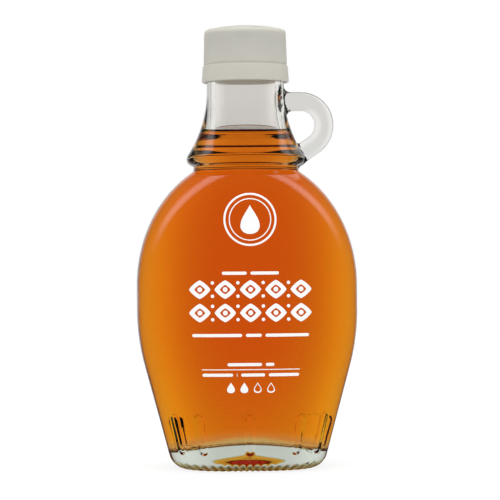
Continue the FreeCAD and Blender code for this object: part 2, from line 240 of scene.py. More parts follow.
class StageSizes(bpy.types.PropertyGroup):
    """Camera, lamps and surroundings."""
    distance: length("Camera distance", 700, "From the flask's axis to the camera")
    azimuth: angle("Camera azimuth", -2, "Turn of the camera about the flask's axis")
    height: length("Camera height", 86, "Height of the camera")
    aim_height: length("Aim height", 78.7, "Height of the point that the camera looks at")
    aim_side: length("Aim side", 1.24, "How far to the right of the axis that point lies")
    roll: angle("Camera roll", -0.42, "Turn of the camera about its own axis")
    lens: number("Lens", 138.6, "Focal length for a 36 mm sensor")
    world_diffuse: number("Surrounding light", 0.80, "Light that matt surfaces get")
    world_through: number("Backdrop", 0.80, "Light seen through the glass, front and back")
    world_side: number("Sides", 0.98, "Light seen through the glass at the sides")
    world_back: number("Turned light", 0.22, "Light that glass throws back from inside")
    world_mirror: number("Dark room", 0.06, "Light from the front, mirrored in the glass")
    side_lamps: number("Side lights", 1.8, "Lights over the sides, mirrored on the shoulders")


GROUPS = {
    "flask_sizes": FlaskSizes,
    "flute_sizes": FluteSizes,
    "neck_sizes": NeckSizes,
    "ear_sizes": EarSizes,
    "syrup_sizes": SyrupSizes,
    "cap_sizes": CapSizes,
    "print_sizes": PrintSizes,
    "finishes": Finishes,
    "stage_sizes": StageSizes,
}


# ---------------------------------------------------------------- mesh and material helpers

def new_object(name, vertices, faces, material, smooth=True):
    """Object of a mesh with its place in its vertices, on the scene's own collection."""
    mesh = bpy.data.meshes.new(name)
    mesh.from_pydata(vertices.tolist(), [], faces)
    mesh.polygons.foreach_set("use_smooth", np.full(len(faces), smooth))
    mesh.materials.append(material)
    mesh.update()
    thing = bpy.data.objects.new(name, mesh)
    bpy.context.scene.collection.objects.link(thing)
    return thing


def closed_faces(rows, columns):
    """Faces of a grid of rings that is closed by a pole before the first and after the last.

    Ring r holds the points r*columns to (r+1)*columns - 1, and the two poles follow them.
    """
    row, column = np.meshgrid(np.arange(rows - 1), np.arange(columns), indexing="ij")
    after = (column + 1) % columns
    quads = np.stack([row * columns + column, row * columns + after,
                      (row + 1) * columns + after, (row + 1) * columns + column], -1)
    ring = np.arange(columns)
    turned = (ring + 1) % columns
    last = (rows - 1) * columns
    first_fan = np.stack([np.full(columns, rows * columns), turned, ring], -1)
    last_fan = np.stack([np.full(columns, rows * columns + 1), last + ring, last + turned], -1)
    return quads.reshape(-1, 4).tolist() + first_fan.tolist() + last_fan.tolist()


def closed_surface(name, points, material):
    """Object of a surface whose points[row, column] are rings, with a pole at each end."""
    poles = np.stack([points[0].mean(0), points[-1].mean(0)])
    vertices = np.concatenate([points.reshape(-1, 3), poles])
    return new_object(name, vertices, closed_faces(*points.shape[:2]), material)


def add_node(tree, kind, inputs=None, **settings):
    """Add a node: settings are its attributes, inputs its sockets' values or linked outputs."""
    node = tree.nodes.new("ShaderNode" + kind)
    for name, value in settings.items():
        setattr(node, name, value)
    for name, value in (inputs or {}).items():
        if isinstance(value, bpy.types.NodeSocket):
            tree.links.new(value, node.inputs[name])
        else:
            node.inputs[name].default_value = value
    return node


def new_material(name):
    """Empty material and its node tree."""
    material = bpy.data.materials.new(name)
    material.use_nodes = True
    material.node_tree.nodes.clear()
    return material, material.node_tree


def result(tree, kind, inputs=None, **settings):
    """Add a node and give the first of its outputs that is in use."""
    node = add_node(tree, kind, inputs, **settings)
    return next(socket for socket in node.outputs if socket.enabled)


def worked_out(tree, operation, *values):
    """Output of one sum: an operation on one or two numbers or linked outputs."""
    return result(tree, "Math", dict(enumerate(values)), operation=operation)


def vector_of(tree, operation, *values):
    """Output of one sum with vectors."""
    return result(tree, "VectorMath", dict(enumerate(values)), operation=operation)


def mapped(tree, value, **limits):
    """Output that runs along a straight line: limits are From Min to To Max, spelled from_min."""
    names = {name.replace("_", " ").title(): limit for name, limit in limits.items()}
    return result(tree, "MapRange", {"Value": value, **names})


def ease(tree, value, low, high):
    """Output that eases from 0 to 1 while value goes from low to high."""
    return result(tree, "MapRange", {"Value": value, "From Min": low, "From Max": high},
                  interpolation_type="SMOOTHSTEP")


def mixed(tree, factor, first, second):
    """Colour between two, each of them a linked output or red, green and blue."""
    first, second = (side if isinstance(side, bpy.types.NodeSocket) else (*side, 1)
                     for side in (first, second))
    return result(tree, "Mix", {"Factor": factor, "A": first, "B": second}, data_type="RGBA")


def between(tree, factor, first, second):
    """Number between two."""
    return result(tree, "Mix", {"Factor": factor, "A": first, "B": second})


def object_place(tree):
    """Output with the place in the piece's own metres."""
    return add_node(tree, "TexCoord").outputs["Object"]


def noise(tree, place, size, detail):
    """Output of a soft noise whose patches are about size across."""
    return result(tree, "TexNoise", {"Vector": place, "Scale": 1 / size, "Detail": detail})


def bumps(tree, height, strength, distance):
    """Output of bumps that are distance high."""
    return result(tree, "Bump", {"Height": height, "Strength": strength, "Distance": distance})


def scaled_colour(tree, colour_value, factor):
    """Colour made lighter or darker by a factor."""
    return result(tree, "VectorMath", {0: tuple(colour_value), "Scale": factor},
                  operation="SCALE")


def smoothstep(value):
    """Ease from 0 to 1: 3 v^2 - 2 v^3, held at 0 below and at 1 above."""
    held = np.clip(value, 0, 1)
    return held * held * (3 - 2 * held)


# ---------------------------------------------------------------- profiles

def quarter_turn(steps):
    """Evenly spaced angles from level to upright."""
    return np.linspace(0, math.pi / 2, steps)


def whole_turn(steps):
    """Evenly spaced angles once round, without the last, which is the first again."""
    return np.linspace(0, 2 * math.pi, steps, endpoint=False)


def shortest_turn(value):
    """The same angle between half a turn back and half a turn on."""
    return (value + math.pi) % (2 * math.pi) - math.pi


def stretch(across, deep, exponent, height):
    """Part of a profile: half width, half depth, exponent and height in one array."""
    return np.stack(np.broadcast_arrays(across, deep, exponent, height), -1).astype(float)


def turned(radius, height):
    """Part of a profile where the cross-section is round."""
    return stretch(radius, radius, 2.0, height)


def turned_arc(start, end, radius, hollow):
    """Round part of a profile along an arc of a radius between two (radius, height) points."""
    chord = np.subtract(end, start)
    half = np.hypot(*chord) / 2
    across = np.array([-chord[1], chord[0]]) / (2 * half)
    reach = math.sqrt(radius ** 2 - half ** 2)
    middle = np.add(start, end) / 2 + across * (reach if hollow else -reach)
    first, last = (math.atan2(p[1] - middle[1], p[0] - middle[0]) for p in (start, end))
    angles = first + shortest_turn(last - first) * np.linspace(0, 1, 60)
    return turned(middle[0] + radius * np.cos(angles), middle[1] + radius * np.sin(angles))


def even_profile(stretches, blur):
    """Join the stretches, space them evenly along the outline and soften their corners.

    Each of the four values is a function of the way along the outline; it is averaged with a
    bell curve of width blur, carried straight on past both ends so that these stay in place.
    """
    profile = np.concatenate(stretches)
    way = np.hypot(np.diff(profile[:, 0]), np.diff(profile[:, 3]))
    keep = np.concatenate([[True], way > 1e-9])
    profile = profile[keep]
    along = np.concatenate([[0], np.cumsum(way[keep[1:]])])
    even = np.arange(0, along[-1], STEP)
    profile = np.stack([np.interp(even, along, value) for value in profile.T], -1)
    if blur == 0:
        return profile
    reach = int(4 * blur / STEP)
    bell = np.exp(-0.5 * (np.arange(-reach, reach + 1) * STEP / blur) ** 2)
    bell /= bell.sum()
    wide = np.pad(profile, ((reach, reach), (0, 0)), mode="reflect", reflect_type="odd")
    return np.stack([np.convolve(value, bell, mode="valid") for value in wide.T], -1)


def pick_rows(profile, step, turn_step, close_to=(), close_step=0.45 * MM):
    """Rows of a profile: at most step apart, and at most turn_step apart in direction.

    Beside the heights in close_to they lie close_step apart.
    """
    across, height = profile[:, 0], profile[:, 3]
    way = np.hypot(np.gradient(across), np.gradient(height))
    heading = np.unwrap(np.arctan2(np.gradient(height), np.gradient(across)))
    density = way / step + np.abs(np.gradient(heading)) / turn_step
    for level in close_to:
        density += way / close_step * np.exp(-((height - level) / (1.4 * MM)) ** 2)
    total = np.cumsum(density)
    rows = int(total[-1]) + 1
    index = np.interp(np.linspace(total[0], total[-1], rows), total, np.arange(len(profile)))
    return np.stack([np.interp(index, np.arange(len(profile)), v) for v in profile.T], -1)


def side_width(height, foot, full, sizes):
    """Half width of the tapered side: straight from the foot, rounded into the full width."""
    corner, blend = sizes.taper_height, sizes.taper_blend
    slope = (full - foot) / corner
    rounded = full - slope * (corner + blend - height) ** 2 / (4 * blend)
    straight = foot + slope * height
    return np.select([height <= corner - blend, height >= corner + blend],
                     [straight, full], rounded)


class Skin:
    """One skin of the flask: its outside, or its inside set in by the wall."""

    def __init__(self, sizes, inset, end_radius):
        self.sizes = sizes
        self.full = (sizes.width / 2 - inset, sizes.depth / 2 - inset)
        self.foot = (sizes.foot_width / 2 - inset, sizes.foot_depth / 2 - inset)
        self.rise = sizes.shoulder_rise - inset
        self.end_share = math.sqrt(1 - (end_radius / self.full[0]) ** 2)
        self.end_height = sizes.wide_height + self.rise * self.end_share
        closing = 1 - (end_radius / self.full[1]) ** 2
        self.power = math.log(closing) / math.log(self.end_share)

    def side(self, height, inset=0.0):
        """Tapered sides, set in further where their lower corner is rounded."""
        across, deep = (side_width(height, self.foot[k], self.full[k], self.sizes) - inset
                        for k in (0, 1))
        return stretch(across, deep, self.sizes.squareness, height)

    def corner(self, foot_height, radius):
        """Rounded lower corner, from the level foot up into the side."""
        turn = quarter_turn(40)
        return self.side(foot_height + radius * (1 - np.cos(turn)), radius * (1 - np.sin(turn)))

    def shoulder(self):
        """Ellipse seen from the front; seen from the side it closes later, by a power.

        The cross-section turns from the flask's own into a circle on the way up.
        """
        share = self.end_share * np.sin(quarter_turn(200))
        across = self.full[0] * np.sqrt(1 - share ** 2)
        deep = self.full[1] * np.sqrt(1 - share ** self.power)
        blend = share / self.end_share
        round_share = blend ** 4 * (5 - 4 * blend)
        squareness = self.sizes.squareness
        return stretch(across, deep, squareness + (2 - squareness) * round_share,
                       self.sizes.wide_height + self.rise * share)


def outside_profile(flask, neck):
    """The glass's outside, from the middle of its underside up to the middle of the lip.

    The hollow underneath is part blunt cone and part flat dome, 1 - s^8 of its height, s the
    share of the way out.
    """
    skin = Skin(flask, 0, neck.waist_radius)
    heel = skin.side(0.0, flask.heel_radius)
    inner = heel[:2] - flask.ring_width
    turn = quarter_turn(60)
    out = np.sin(turn)
    blunt = 0.06
    cone = (math.hypot(blunt, 1) - np.hypot(blunt, out)) / (math.hypot(blunt, 1) - blunt)
    cone_share = 0.42
    dome = stretch(inner[0] * out, inner[1] * out, 2 + (flask.squareness - 2) * out,
                   flask.pushup_height * (cone_share * cone
                                          + (1 - cone_share) * (1 - out ** 8)))
    waist = skin.end_height
    collar = waist + neck.collar_height
    straight = collar + neck.flare_height
    finish = straight + neck.neck_height
    lip = GLASS_HIGH.z
    narrow = neck.neck_radius - neck.finish_step
    bore = neck.neck_radius - neck.neck_wall
    rounding = neck.lip_rounding
    ledge = neck.waist_radius - 0.3 * MM
    return even_profile([
        dome,
        skin.corner(0, flask.heel_radius),
        skin.side(np.linspace(flask.heel_radius, flask.wide_height, 300)),
        skin.shoulder(),
        turned(ledge, [waist + 0.3 * MM, waist + 1 * MM]),
        turned_arc((ledge, waist + 2 * MM), (neck.waist_radius + neck.collar_reach, collar),
                   neck.collar_bulge, True),
        turned_arc((neck.waist_radius + neck.collar_reach, collar), (neck.neck_radius, straight),
                   neck.flare_radius, False),
        turned(neck.neck_radius, [straight, finish - neck.finish_step / 2]),
        turned(narrow, [finish + neck.finish_step / 2, lip - rounding]),
        turned(narrow - rounding * (1 - np.cos(turn)), lip - rounding * (1 - np.sin(turn))),
        turned([narrow - rounding, (narrow + bore) / 2], lip),
    ], SOFTNESS)


def inside_profile(flask, neck, reach=0.0):
    """The glass's inside, from the middle of the floor up to the middle of the lip.

    The floor falls towards its rim by 1 - (1 - s^2)^2 of its fall, s the share of the way out.
    With reach it lies that much deeper in the glass, for what fills the flask.  The last points
    of the shoulder are cut off, since the throat's arc takes over there.
    """
    throat_radius = neck.waist_radius - neck.waist_wall
    skin = Skin(flask, flask.wall - reach, throat_radius + reach)
    floor = flask.floor_height - flask.floor_fall - reach
    throat = Skin(flask, flask.wall, throat_radius).end_height
    foot = skin.side(floor, flask.floor_corner)
    spread = np.linspace(0, 1, 60)
    bore = neck.neck_radius - neck.neck_wall + reach
    lip = GLASS_HIGH.z
    ledge = throat_radius + reach - 0.3 * MM
    narrow = neck.neck_radius - neck.finish_step
    middle = (narrow + neck.neck_radius - neck.neck_wall) / 2
    rounding = 0.5 * MM
    cut = 12
    turn = quarter_turn(20)
    return even_profile([
        stretch(foot[0] * spread, foot[1] * spread, flask.squareness,
                floor + flask.floor_fall * (1 - spread ** 2) ** 2),
        skin.corner(floor, flask.floor_corner),
        skin.side(np.linspace(floor + flask.floor_corner, flask.wide_height, 300)),
        skin.shoulder()[:-cut],
        turned_arc((ledge, throat), (bore, throat + neck.bore_flare_height),
                   neck.bore_flare_radius, False),
        turned(bore, [throat + neck.bore_flare_height, lip - rounding]),
        turned(bore + rounding * (1 - np.cos(turn)), lip - rounding * (1 - np.sin(turn))),
        turned([bore + rounding, middle], lip),
    ], SOFTNESS)


# ---------------------------------------------------------------- columns and relief

def flute_turns(flutes):
    """Turns of the grooves: one at each side and face, two round each corner, 0 is +X."""
    quarter = (0, flutes.corner_turn, flutes.front_turn, math.pi / 2)
    half = [*quarter, *(math.pi - turn for turn in quarter[-2:0:-1])]
    return np.array(half + [turn + math.pi for turn in half])


def flute_directions(rows, turns, squareness):
    """Polar angle of each groove at each row: its point is (a cos^(2/n), b sin^(2/n))."""
    power = 2 / squareness
    x = np.sign(np.cos(turns)) * np.abs(np.cos(turns)) ** power
    y = np.sign(np.sin(turns)) * np.abs(np.sin(turns)) ** power
    return np.arctan2(rows[:, 1, None] * y, rows[:, 0, None] * x) % (2 * math.pi)


def column_angles(flask, flutes):
    """Polar angles of the columns, closer together at the grooves.

    Their density is 1 plus a bell curve at each groove, and the angles are spaced evenly along
    its running total.
    """
    middle = (flutes.lower_end + flutes.upper_end) / 2
    row = Skin(flask, 0, 0.5 * flask.depth / 2).side(np.array([middle]))
    directions = flute_directions(row, flute_turns(flutes), flask.squareness)[0]
    fine = np.linspace(0, 2 * math.pi, 7201)
    density = np.ones_like(fine)
    for direction in directions:
        away = shortest_turn(fine - direction)
        density += 1.3 * np.exp(-(away / math.radians(4)) ** 2)
    total = np.concatenate([[0], np.cumsum((density[1:] + density[:-1]) / 2)])
    return np.interp(np.arange(COLUMNS) / COLUMNS * total[-1], total, fine)


def rings(rows, angles):
    """Points of the rows at polar angles: radius (|cos/a|^n + |sin/b|^n)^(-1/n)."""
    across, deep, exponent, height = (rows[:, k, None] for k in range(4))
    across = np.maximum(across, 1e-6)
    deep = np.maximum(deep, 1e-6)
    cos, sin = np.cos(angles), np.sin(angles)
    total = np.abs(cos / across) ** exponent + np.abs(sin / deep) ** exponent
    radius = total ** (-1 / exponent)
    return np.stack(np.broadcast_arrays(radius * cos, radius * sin, height), -1)


def outward(rows, points):
    """Level unit vectors out of the cross-sections: the slope of |x/a|^n + |y/b|^n."""
    across, deep, exponent = (np.maximum(rows[:, k, None], 1e-6) for k in range(3))
    x, y = points[..., 0], points[..., 1]
    slope_x = np.sign(x) * np.abs(x / across) ** (exponent - 1) / across
    slope_y = np.sign(y) * np.abs(y / deep) ** (exponent - 1) / deep
    size = np.hypot(slope_x, slope_y)
    return np.stack([slope_x / size, slope_y / size, np.zeros_like(size)], -1)


def around(points):
    """Way round each ring from its first column, to each column and back to the first."""
    closed = np.concatenate([points, points[:, :1]], 1)
    steps = np.linalg.norm(np.diff(closed, axis=1), axis=-1)
    return np.concatenate([np.zeros((len(points), 1)), np.cumsum(steps, 1)], 1)


def flute_relief(rows, points, angles, flask, flutes):
    """Depth of the grooves: flat-bottomed, with eased flanks and round ends.

    The second array is 1 on the steepest part of the flanks and falls off beside it: it is
    the share of painted shade drawn on them.  Both are weaker towards the back, whose
    grooves are shallower.
    """
    way = around(points)
    whole = way[:, -1:]
    height = rows[:, 3]
    past = np.maximum(0, np.maximum(flutes.lower_end - height, height - flutes.upper_end))
    closed_angles = np.append(angles, 2 * math.pi)
    share = np.zeros(points.shape[:2])
    directions = flute_directions(rows, flute_turns(flutes), flask.squareness)
    for direction in directions.T:
        middle = np.array([np.interp(direction[k], closed_angles, way[k])
                           for k in range(len(rows))])
        away = np.abs(way[:, :-1] - middle[:, None])
        away = np.minimum(away, whole - away)
        distance = np.hypot(away, past[:, None])
        share = np.maximum(share, smoothstep((flutes.half_width - distance) / flutes.flank))
    flanks = smoothstep(1.3 - 2.6 * np.abs(2 * share - 1))
    facing = 0.7 - 0.3 * points[..., 1] / rows[:, 1, None]
    return flutes.depth * share * facing, flanks * facing


def seam_relief(rows, points, flask):
    """Ridge of the mould seam: a bell curve across the plane of the ear, fading at the foot."""
    across = np.exp(-(points[..., 1] / flask.seam_width) ** 2)
    fade = smoothstep((rows[:, 3] - 2 * MM) / (4 * MM))
    return flask.seam_height * across * fade[:, None]


def knurl_lift(rows, angles, flask):
    """Rise of the hollows between the ridges round the edge that the flask stands on.

    Round the ring it is a cosine, and up the side it fades out below top.  Across the ring it
    is whole around a line just outside the heel's inner edge, and gone 1.4 ring widths from
    it.  The second array is the share of painted shade on that edge, most in the hollows:
    the glass there is darkened to stand in for the contact shadow under the foot.
    it.  The second array is the share by which that edge is scuffed, most in the hollows.
    """
    outer = flask.foot_width / 2 - flask.heel_radius
    place = (rows[:, 0] - outer) / flask.ring_width
    top, fade = 3.2 * MM, 1.2 * MM
    low = smoothstep((top - rows[:, 3]) / fade)
    share = (low * smoothstep(2.2 - 1.6 * np.abs(place - 0.4)))[:, None]
    hollows = 0.5 - 0.5 * np.cos(flask.knurl_count * angles)[None, :]
    return flask.knurl_depth * share * hollows, share * (0.6 + 0.4 * hollows)


def wall_wave(rows, angles, flask):
    """Slow unevenness of the inner wall: three waves round and up, none at floor and neck."""
    height = rows[:, 3, None] / (10 * MM)
    wave = (np.sin(2 * angles + 0.55 * height + 0.8) + 0.7 * np.sin(3 * angles - 0.8 * height)
            + 0.4 * np.sin(5 * angles + 1.3 * height + 2.1))
    fade = smoothstep((rows[:, 3] - 14 * MM) / (12 * MM))
    fade *= smoothstep((flask.wide_height + flask.shoulder_rise * 0.8 - rows[:, 3]) / (15 * MM))
    return flask.wall_wave / 2 * wave * fade[:, None]


def sagged(points, flask):
    """The inner points, lowered by sag * (x / half the foot)^2 near the floor, less above it."""
    fade = 14 * MM
    sag = flask.floor_sag * (points[..., 0] / (flask.foot_width / 2 - flask.wall)) ** 2
    points[..., 2] -= sag * smoothstep((flask.floor_height + fade - points[..., 2]) / fade)
    return points


# ---------------------------------------------------------------- glass

def flask_points(flask, flutes, neck, level):
    """Rings of the glass: up its outside, over the lip and down its inside.

    With them come shares from 0 to 1 at each point: how far it is wetted by the syrup, how
    far its edge under the foot carries painted contact shade, and how far it carries the
    painted shade of a groove's flank.
    """
    angles = column_angles(flask, flutes)
    levels = (flutes.lower_end - flutes.half_width,
              flutes.upper_end + flutes.half_width - 0.4 * MM)
    rows = pick_rows(outside_profile(flask, neck)[POLE_STEPS:], step=2.3 * MM,
                     turn_step=math.radians(11), close_to=levels)
    points = rings(rows, angles)
    grooves, flanks = flute_relief(rows, points, angles, flask, flutes)
    relief = seam_relief(rows, points, flask) - grooves
    lift, painted_foot_shade = knurl_lift(rows, angles, flask)
    points += outward(rows, points) * relief[..., None]
    points[..., 2] += lift
    inner_rows = pick_rows(inside_profile(flask, neck)[POLE_STEPS:], step=3 * MM,
                           turn_step=math.radians(12), close_to=(level,))[::-1]
    inner = rings(inner_rows, angles)
    inner += outward(inner_rows, inner) * wall_wave(inner_rows, angles, flask)[..., None]
    inner = sagged(inner, flask)
    wetted = np.zeros((len(inner_rows), COLUMNS)) + (inner_rows[:, 3] < level)[:, None]
    nothing = np.zeros_like(wetted)
    # The shares for the foot's edge and for the grooves' flanks mark where painted shade goes.
    shares = {
        "wetted": np.concatenate([np.zeros_like(painted_foot_shade[:-1]), wetted]),
        "foot_shaded": np.concatenate([painted_foot_shade[:-1], nothing]),
        "flank": np.concatenate([flanks[:-1], nothing]),
    }
    return np.concatenate([points[:-1], inner]), shares


def ear_points(flask, neck, ear):
    """Rings of the ear's bar: out of the neck, round the ring and down into the collar.

    Near the glass it leaves, each point moves out by a hollow quarter circle of its distance
    from that surface, which rounds both roots, above and below more than at the sides.  The
    distance depends on where the point ends up, so it is found in rounds.
    """
    outside = outside_profile(flask, neck)
    waist = Skin(flask, 0, neck.waist_radius).end_height
    outside = outside[outside[:, 3] > waist + 0.5 * MM]
    middle_x = neck.neck_radius + ear.reach
    middle_z = waist + ear.rise
    start = neck.neck_radius - neck.neck_wall / 2
    ring = ear.ring_radius
    turn = math.pi / 2 + ear.foot_angle
    foot_x = middle_x + ring * math.cos(ear.foot_angle)
    straight = (foot_x - (neck.waist_radius - ear.foot_depth)) / math.sin(ear.foot_angle)
    lead = middle_x - start
    bar_rows, bar_columns, rounds = 130, 56, 24
    way = np.linspace(0, lead + ring * turn + straight, bar_rows)[:, None]
    heading = np.clip((way - lead) / ring, 0, turn)
    past = np.clip(way - lead - ring * turn, 0, None)
    before = np.clip(way - lead, None, 0)
    turns = np.linspace(2 * math.pi, 0, bar_columns, endpoint=False)[None, :]
    fillet = np.where(heading < 0.6 * turn, ear.root_fillet, ear.foot_fillet)
    fillet = fillet * (0.25 + 0.75 * np.cos(turns) ** 2)
    radius = np.full((len(way), turns.size), ear.bar_radius)
    for _ in range(rounds):
        x = (middle_x + before + (ring + radius * np.cos(turns)) * np.sin(heading)
             - past * math.sin(ear.foot_angle))
        y = radius * np.sin(turns)
        z = (middle_z + (ring + radius * np.cos(turns)) * np.cos(heading)
             - past * math.cos(ear.foot_angle))
        away = np.abs(np.hypot(x, y) - np.interp(z, outside[:, 3], outside[:, 0]))
        held = np.clip(fillet - away, 0, 0.97 * fillet)
        wanted = ear.bar_radius + fillet - np.sqrt(fillet ** 2 - held ** 2)
        radius += 0.4 * (wanted - radius)
    return np.stack([x, y, z], -1)


def join(first, second):
    """Fuse the second object into the first with a boolean, and drop the second."""
    modifier = first.modifiers.new("join", "BOOLEAN")
    modifier.operation = "UNION"
    modifier.solver = "MANIFOLD"
    modifier.object = second
    graph = bpy.context.evaluated_depsgraph_get()
    mesh = bpy.data.meshes.new_from_object(first.evaluated_get(graph))
    first.modifiers.clear()
    old = first.data
    first.data = mesh
    bpy.data.meshes.remove(old)
    bpy.data.objects.remove(second)
    mesh.polygons.foreach_set("use_smooth", np.full(len(mesh.polygons), True))
    mesh.update()


def clear_glass(finishes):
    """Flint soda-lime glass, blown in a mould: slick and clear, faintly grey-green in depth.

    Its IOR is 1.52.  The skin is fire-polished, with a ripple 12 mm long that only shows in
    what is seen through it, and a slight haze where it has rubbed.  Glass mirrors next to
    nothing where syrup wets it, since the two bend light nearly alike.  Its colour carries
    painted shade: a warm grey from 104 mm up over neck and ear, a dark line on the grooves'
    steep flanks, and a dark brown edge under the foot for the contact shadow there.
    """
    material, tree = new_material("clear_glass")
    place = object_place(tree)
    ripple = noise(tree, place, 12 * MM, 1.0)
    rub = noise(tree, place, 6 * MM, 4.0)
    wetted, foot_shaded, flank = (add_node(tree, "Attribute", attribute_name=name).outputs["Fac"]
                              for name in ("wetted", "foot_shaded", "flank"))
    height = add_node(tree, "SeparateXYZ", {"Vector": place}).outputs["Z"]
    # Painted shade: the glass turns a warm grey towards the neck and ear.
    tone = mixed(tree, ease(tree, height, 104 * MM, 124 * MM), (1, 1, 1), finishes.neck_shade)
    # Painted shade: the grooves' steep flanks are darkened.
    tone = mixed(tree, flank, tone, finishes.flank)
    # Painted shade: the foot's edge is darkened brown to stand in for the contact shadow under
    # it.
    tone = mixed(tree, foot_shaded, tone, finishes.painted_foot_shade)
    glass = result(tree, "BsdfPrincipled", {
        "Base Color": tone, "IOR": 1.52, "Transmission Weight": 1.0,
        "Roughness": mapped(tree, rub, from_min=0.55, from_max=0.9, to_min=0.0, to_max=0.03),
        "Specular Tint": worked_out(tree, "SUBTRACT", 1.0, wetted),
        "Normal": bumps(tree, ripple, 0.25, 0.05 * MM)})
    depth = result(tree, "VolumeAbsorption", {"Color": (0.46, 0.56, 0.40, 1), "Density": 18.0})
    add_node(tree, "OutputMaterial", {"Surface": glass, "Volume": depth})
    return material


class SYRUP_OT_glass(bpy.types.Operator):
    """Add the bottle's glass with its ear, in place of the plain solid"""
    bl_idname = "syrup.glass"
    bl_label = "Glass"

    def execute(self, context):
        scene = context.scene
        flask, neck = scene.flask_sizes, scene.neck_sizes
        material = clear_glass(scene.finishes)
        points, shares = flask_points(flask, scene.flute_sizes, neck, scene.syrup_sizes.level)
        glass = closed_surface("flask_glass", points, material)
        for name, share in shares.items():
            attribute = glass.data.attributes.new(name, "FLOAT", "POINT")
            attribute.data.foreach_set("value", np.append(share, (0, share[-1, 0])))
        ear = closed_surface("ear", ear_points(flask, neck, scene.ear_sizes), material)
        before = len(glass.data.polygons)
        join(glass, ear)
        if len(glass.data.polygons) < before:
            raise RuntimeError("the ear did not fuse with the flask")
        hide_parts("glass_bottle")
        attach(glass, "root")
        return {"FINISHED"}


# ---------------------------------------------------------------- syrup

def syrup_points(flask, flutes, neck, syrup):
    """Rings of the syrup: the glass's inside, a little deeper, up to its level surface.

    At the wall the surface climbs by meniscus * exp(-distance / width).  With them comes the
    share from 0 to 1 by which each row belongs to the floor.
    """
    angles = column_angles(flask, flutes)
    profile = inside_profile(flask, neck, syrup.reach)[POLE_STEPS:]
    level = syrup.level
    profile = profile[:int(np.argmax(profile[:, 3] > level + syrup.meniscus))]
    rows = pick_rows(profile, step=3 * MM, turn_step=math.radians(12))
    wall = rings(rows, angles)
    wall += outward(rows, wall) * wall_wave(rows, angles, flask)[..., None]
    wall = sagged(wall, flask)
    low = rows[:, 3] < flask.floor_height + flask.floor_corner
    bottom = smoothstep((rows[low, 0].max() - rows[:, 0]) / (4 * MM)) * low
    edge = rows[-1, 0]
    distance = np.geomspace(0.12 * MM, edge * 0.98, 26)
    surface = turned(edge - distance,
                     level + syrup.meniscus * np.exp(-distance / syrup.meniscus_width))
    return np.concatenate([wall, rings(surface, angles)]), bottom


def amber_syrup(finishes):
    """Boiled maple sap, clear: IOR 1.46 for two thirds sugar.

    A thin layer already takes up nearly all blue, so its skin is golden, and nearly clear on
    the floor, where it thins out.  Away from the body's middle the skin is yellower: partly
    for the thinner syrup there, and partly painted light for the brighter lower body.  The
    rest is taken up in depth, green first, so thin parts look golden and thick parts amber.
    """
    material, tree = new_material("amber_syrup")
    place = object_place(tree)
    height = add_node(tree, "SeparateXYZ", {"Vector": place}).outputs["Z"]
    away = vector_of(tree, "SUBTRACT", place, (0, 0, 78 * MM))
    away = vector_of(tree, "LENGTH", vector_of(tree, "MULTIPLY", away, (1, 0, 0.34)))
    # Partly painted light: the skin turns yellower away from the body's middle, for the thinner
    # syrup at the rim and for the brighter light on the lower body.
    rim = worked_out(tree, "MULTIPLY", ease(tree, away, 9 * MM, 46 * MM),
                     ease(tree, height, 108 * MM, 98 * MM))
    bottom = add_node(tree, "Attribute", attribute_name="bottom").outputs["Fac"]
    skin = mixed(tree, rim, finishes.syrup_skin, finishes.syrup_rim_lit)
    skin = mixed(tree, bottom, skin, finishes.syrup_floor)
    liquid = result(tree, "BsdfPrincipled", {
        "Base Color": skin, "Roughness": 0.0, "IOR": 1.46, "Transmission Weight": 1.0,
        "Specular Tint": (0, 0, 0, 1)})
    taken = (finishes.syrup_red, finishes.syrup_green, finishes.syrup_blue)
    density = max(taken) * 1.02
    tint = [1 - value / density for value in taken]
    depth = result(tree, "VolumeAbsorption", {"Color": (*tint, 1), "Density": density})
    add_node(tree, "OutputMaterial", {"Surface": liquid, "Volume": depth})
    return material


class SYRUP_OT_syrup(bpy.types.Operator):
    """Add the syrup, which reaches a little into the wall so that no air shows"""
    bl_idname = "syrup.syrup"
    bl_label = "Syrup"

    def execute(self, context):
        scene = context.scene
        points, bottom = syrup_points(scene.flask_sizes, scene.flute_sizes, scene.neck_sizes,
                                      scene.syrup_sizes)
        syrup = closed_surface("syrup_fill", points, amber_syrup(scene.finishes))
        share = np.zeros(len(syrup.data.vertices))
        share[:len(bottom) * COLUMNS] = np.repeat(bottom, COLUMNS)
        share[-2] = 1
        attribute = syrup.data.attributes.new("bottom", "FLOAT", "POINT")
        attribute.data.foreach_set("value", share)
        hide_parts("syrup")
        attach(syrup, "root")
        return {"FINISHED"}


# ---------------------------------------------------------------- cap

